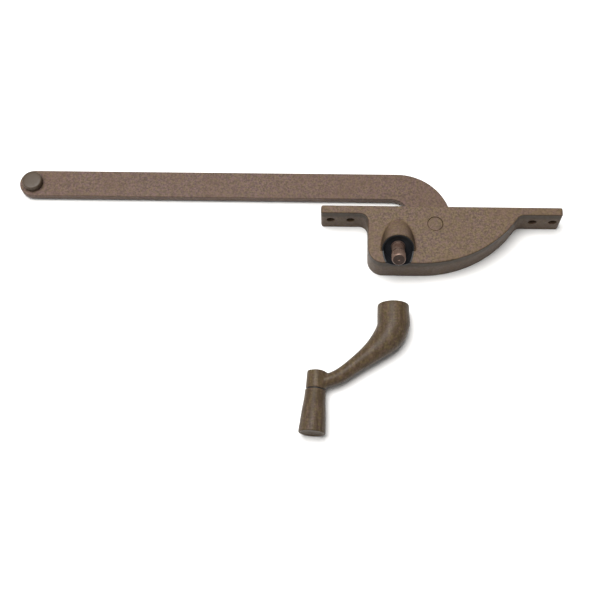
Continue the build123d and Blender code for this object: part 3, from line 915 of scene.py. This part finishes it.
def fastener_tree(name, lengths):
    """A Geometry Nodes tree with one input for the places, its sizes, a seed and a material."""
    tree = bpy.data.node_groups.new(name, "GeometryNodeTree")
    tree.interface.new_socket("Geometry", in_out="OUTPUT", socket_type="NodeSocketGeometry")
    tree.interface.new_socket("Places", in_out="INPUT", socket_type="NodeSocketGeometry")
    for length in lengths:
        socket = tree.interface.new_socket(length, in_out="INPUT", socket_type="NodeSocketFloat")
        socket.subtype = "DISTANCE"
    tree.interface.new_socket("Seed", in_out="INPUT", socket_type="NodeSocketInt")
    tree.interface.new_socket("Material", in_out="INPUT", socket_type="NodeSocketMaterial")
    return tree, add_node(tree, "NodeGroupInput").outputs


def set_out(tree, given, fastener):
    """Puts a fastener on every place, each turned by its own amount, and ends the tree."""
    turn = {"Max": 2 * pi, "Seed": given["Seed"]}
    turn = add_node(tree, "FunctionNodeRandomValue", turn, data_type="FLOAT")
    about_z = add_node(tree, "ShaderNodeCombineXYZ", {"Z": turn})
    placing = {"Points": given["Places"], "Instance": fastener, "Rotation": about_z}
    placed = add_node(tree, "GeometryNodeInstanceOnPoints", placing)
    real = add_node(tree, "GeometryNodeRealizeInstances", {"Geometry": placed})
    coated = {"Geometry": real, "Material": given["Material"]}
    coated = add_node(tree, "GeometryNodeSetMaterial", coated)
    add_node(tree, "NodeGroupOutput", {"Geometry": coated})


def shank_up(tree, given, radius_name, vertices):
    """A round shank that stands on the origin."""
    shank = {"Vertices": vertices, "Radius": given[radius_name], "Depth": given["Length"]}
    shank = add_node(tree, "GeometryNodeMeshCylinder", shank)
    middle = add_node(tree, "ShaderNodeMath", {0: given["Length"], 1: 0.5}, operation="MULTIPLY")
    middle = add_node(tree, "ShaderNodeCombineXYZ", {"Z": middle})
    return add_node(tree, "GeometryNodeTransform", {"Geometry": shank, "Translation": middle})


def fasten(name, tree, places, sizes, seed, material):
    """One plain mesh with a fastener at each place."""
    points = bpy.data.meshes.new(name)
    points.from_pydata(places, [], [])
    made = mesh_object(name, points)
    modifier = made.modifiers.new(name, "NODES")
    modifier.node_group = tree
    values = {**sizes, "Seed": seed, "Material": material}
    for item in tree.interface.items_tree:
        if item.in_out == "INPUT" and item.name in values:
            modifier[item.identifier] = values[item.name]
    bake_modifiers(made)
    require(len(made.data.polygons) > 0, f"{name} came out empty")
    shade(made, material)
    return made


RECESS_HEIGHT = 1.6 * MM


class DriveCoverScrews(bpy.types.Operator):
    """Drives the countersunk screws that hold the cover on the case"""

    bl_idname = "window_operator.drive_cover_screws"
    bl_label = "Drive the Cover Screws"

    def execute(self, context):
        shape = context.scene.fastener_shape
        corners = separate_solids("cover_screws")
        places = [((low.x + high.x) / 2, (low.y + high.y) / 2, low.z) for low, high in corners]
        low, high = corners[0]
        sizes = {
            "Head Radius": (high.x - low.x) / 2,
            "Head Depth": shape.screw_head_depth,
            "Thread Radius": shape.screw_shank / 2,
            "Core Radius": shape.screw_core / 2,
            "Length": high.z - low.z,
            "Pitch": shape.screw_pitch,
            "Recess Width": shape.recess_width,
            "Recess Span": shape.recess_span,
        }
        tree = self.screw_tree(sizes)
        plate = zinc_plating("zinc_plate_on_screws", context.scene.operator_finish.zinc_plate)
        screws = fasten("cover_screw_set", tree, places, sizes, shape.turn_seed, plate)
        settle(screws, "housing", "plated_steel", "cover_screws")
        return {"FINISHED"}

    def screw_tree(self, sizes):
        """Countersunk head, threaded shank and cross recess; the head's face is at the origin."""
        tree, given = fastener_tree("cover_screw", sizes)
        head = {
            "Vertices": 40,
            "Radius Bottom": given["Head Radius"],
            "Radius Top": given["Core Radius"],
            "Depth": given["Head Depth"],
        }
        head = add_node(tree, "GeometryNodeMeshCone", head)
        core = shank_up(tree, given, "Core Radius", 24)
        united = {"operation": "UNION", "solver": "EXACT"}
        body = add_node(tree, "GeometryNodeMeshBoolean", {"Mesh": [head, core]}, **united)
        slots = []
        for across, along in (("Recess Span", "Recess Width"), ("Recess Width", "Recess Span")):
            size = {"X": given[across], "Y": given[along], "Z": RECESS_HEIGHT}
            size = add_node(tree, "ShaderNodeCombineXYZ", size)
            slots.append(add_node(tree, "GeometryNodeMeshCube", {"Size": size}))
        cross = add_node(tree, "GeometryNodeMeshBoolean", {"Mesh": slots}, **united)
        cut = {"operation": "DIFFERENCE", "solver": "EXACT"}
        recessed = {"Mesh 1": body, "Mesh 2": cross}
        recessed = add_node(tree, "GeometryNodeMeshBoolean", recessed, **cut)
        shells = {"Geometry": [recessed, self.thread(tree, given)]}
        set_out(tree, given, add_node(tree, "GeometryNodeJoinGeometry", shells))
        return tree

    def thread(self, tree, given):
        """A three-sided ridge wound round the core, between the head and the tip."""
        pitch, core, depth = given["Pitch"], given["Core Radius"], given["Head Depth"]
        less, over = {"operation": "SUBTRACT"}, {"operation": "DIVIDE"}
        run = add_node(tree, "ShaderNodeMath", {0: given["Length"], 1: depth}, **less)
        run = add_node(tree, "ShaderNodeMath", {0: run, 1: pitch}, **less)
        turns = add_node(tree, "ShaderNodeMath", {0: run, 1: pitch}, **over)
        spiral = {
            "Resolution": 20,
            "Rotations": turns,
            "Start Radius": core,
            "End Radius": core,
            "Height": run,
        }
        spiral = add_node(tree, "GeometryNodeCurveSpiral", spiral)
        ridge = add_node(tree, "ShaderNodeMath", {0: given["Thread Radius"], 1: core}, **less)
        ridge = {"Resolution": 3, "Radius": ridge}
        ridge = add_node(tree, "GeometryNodeCurvePrimitiveCircle", ridge, mode="RADIUS")
        wound = {"Curve": spiral, "Profile Curve": ridge, "Fill Caps": True}
        wound = add_node(tree, "GeometryNodeCurveToMesh", wound)
        start = {0: pitch, 1: 0.5, 2: depth}
        start = add_node(tree, "ShaderNodeMath", start, operation="MULTIPLY_ADD")
        start = add_node(tree, "ShaderNodeCombineXYZ", {"Z": start})
        return add_node(tree, "GeometryNodeTransform", {"Geometry": wound, "Translation": start})


class SetSectorRivets(bpy.types.Operator):
    """Sets the rivets that hold the gear sector on the arm"""

    bl_idname = "window_operator.set_sector_rivets"
    bl_label = "Set the Sector Rivets"

    def execute(self, context):
        shape = context.scene.fastener_shape
        corners = separate_solids("sector_rivets")
        places = [((low.x + high.x) / 2, (low.y + high.y) / 2, low.z) for low, high in corners]
        low, high = corners[0]
        sizes = {
            "Head Radius": (high.x - low.x) / 2,
            "Head Height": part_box("operator_arm")[0].z - low.z,
            "Shank Radius": shape.rivet_shank / 2,
            "Length": high.z - low.z,
        }
        tree = self.rivet_tree(sizes)
        steel = zinc_plating("zinc_plate_on_rivets", context.scene.operator_finish.zinc_plate)
        rivets = fasten("sector_rivet_set", tree, places, sizes, shape.turn_seed, steel)
        settle(rivets, "arm", "plated_steel", "sector_rivets")
        return {"FINISHED"}

    def rivet_tree(self, sizes):
        """Shank with a formed head at each end; the lower head's face is at the origin."""
        tree, given = fastener_tree("sector_rivet", sizes)
        head = {
            "Vertices": 32,
            "Radius Bottom": given["Shank Radius"],
            "Radius Top": given["Head Radius"],
            "Depth": given["Head Height"],
        }
        head = add_node(tree, "GeometryNodeMeshCone", head)
        top = add_node(tree, "ShaderNodeCombineXYZ", {"Z": given["Length"]})
        top = {"Geometry": head, "Rotation": (pi, 0, 0), "Translation": top}
        top = add_node(tree, "GeometryNodeTransform", top)
        solids = {"Mesh": [shank_up(tree, given, "Shank Radius", 32), head, top]}
        united = {"operation": "UNION", "solver": "EXACT"}
        set_out(tree, given, add_node(tree, "GeometryNodeMeshBoolean", solids, **united))
        return tree


# -------------------------------------------------------------------------------- stage


class SetStage(bpy.types.Operator):
    """Lays the pale floor, hangs the soft lights and places the camera"""

    bl_idname = "window_operator.set_stage"
    bl_label = "Set the Stage"

    def execute(self, context):
        stage = context.scene.studio_stage
        middle = (CAD_LOW + CAD_HIGH) / 2
        self.lay_floor(stage, middle)
        self.light(context.scene, stage, middle)
        self.place_camera(context.scene, stage)
        return {"FINISHED"}

    def lay_floor(self, stage, middle):
        """One flat sheet just under the object."""
        reach_out = stage.floor_size / 2
        corners = []
        for x, y in ((-1, -1), (1, -1), (1, 1), (-1, 1)):
            across, along = middle.x + x * reach_out, middle.y + y * reach_out
            corners.append((across, along, CAD_LOW.z - 0.05 * MM))
        mesh = bpy.data.meshes.new("floor")
        mesh.from_pydata(corners, [], [(0, 1, 2, 3)])
        floor = mesh_object("floor", mesh)
        floor.data.materials.append(matt_floor("matt_white_board", stage.floor_colour))

    def light(self, scene, stage, middle):
        """Even light from the room, a large lamp overhead and a small one at the left."""
        world = bpy.data.worlds.new("soft_room")
        world.use_nodes = True
        world.node_tree.nodes.clear()
        sky = {"Color": (1, 1, 1, 1), "Strength": stage.sky}
        sky = add_node(world.node_tree, "ShaderNodeBackground", sky)
        add_node(world.node_tree, "ShaderNodeOutputWorld", {"Surface": sky})
        scene.world = world
        for name, power, size, offset in (
            ("overhead", stage.key, stage.key_size, Vector((-0.25, 0.2, 1.5))),
            ("left_side", stage.fill, stage.fill_size, Vector((-0.7, -0.15, 0.55))),
        ):
            lamp = bpy.data.lights.new(name, "AREA")
            lamp.shape = "SQUARE"
            lamp.size = size
            lamp.energy = power
            hung = bpy.data.objects.new(name, lamp)
            hung.location = middle + offset
            hung.rotation_euler = (-offset).to_track_quat("-Z", "Y").to_euler()
            scene.collection.objects.link(hung)

    def place_camera(self, scene, stage):
        """The camera, aimed at a point on the floor beside the arm's pivot."""
        ahead = Vector(
            (
                sin(stage.azimuth) * cos(stage.elevation),
                cos(stage.azimuth) * cos(stage.elevation),
                -sin(stage.elevation),
            )
        )
        level = ahead.cross(Vector((0, 0, 1))).normalized()
        above = level.cross(ahead)
        right = level * cos(stage.roll) + above * sin(stage.roll)
        turn = Matrix((right, -ahead.cross(right), -ahead)).transposed().to_4x4()
        pivot = JOINTS["arm_swing"]["pos_m"]
        aim = Vector((pivot[0] - stage.aim_left, pivot[1] - stage.aim_near, CAD_LOW.z))
        camera_data = bpy.data.cameras.new("camera")
        camera_data.sensor_width = 36
        camera_data.lens = stage.lens
        camera = bpy.data.objects.new("camera", camera_data)
        camera.matrix_world = Matrix.Translation(aim - ahead * stage.distance) @ turn
        scene.collection.objects.link(camera)
        scene.camera = camera
        scene.view_settings.view_transform = "Standard"


# -------------------------------------------------------------------------------- panel


STEPS = (
    FinishCase,
    FinishArm,
    FinishDrive,
    FinishFittings,
    CastHandle,
    TurnKnob,
    MouldButton,
    DriveCoverScrews,
    SetSectorRivets,
    SetStage,
)


class WindowOperatorPanel(bpy.types.Panel):
    """Lists the steps that build the window operator"""

    bl_idname = "VIEW3D_PT_window_operator"
    bl_label = "Window Operator"
    bl_space_type = "VIEW_3D"
    bl_region_type = "UI"
    bl_category = "Window Operator"

    def draw(self, context):
        for step in STEPS:
            self.layout.operator(step.bl_idname)
        for name in SETTINGS:
            box = self.layout.box()
            settings = getattr(context.scene, name)
            for setting in settings.bl_rna.properties:
                if setting.identifier not in ("name", "rna_type"):
                    box.prop(settings, setting.identifier)


CLASSES = (*SETTINGS.values(), *STEPS, WindowOperatorPanel)


def register():
    for made in CLASSES:
        bpy.utils.register_class(made)
    for name, group in SETTINGS.items():
        setattr(bpy.types.Scene, name, bpy.props.PointerProperty(type=group))


def unregister():
    for name in SETTINGS:
        delattr(bpy.types.Scene, name)
    for made in reversed(CLASSES):
        bpy.utils.unregister_class(made)


def main():
    register()
    for step in STEPS:
        group, action = step.bl_idname.split(".")
        getattr(getattr(bpy.ops, group), action)()


if __name__ == "__main__":
    main()
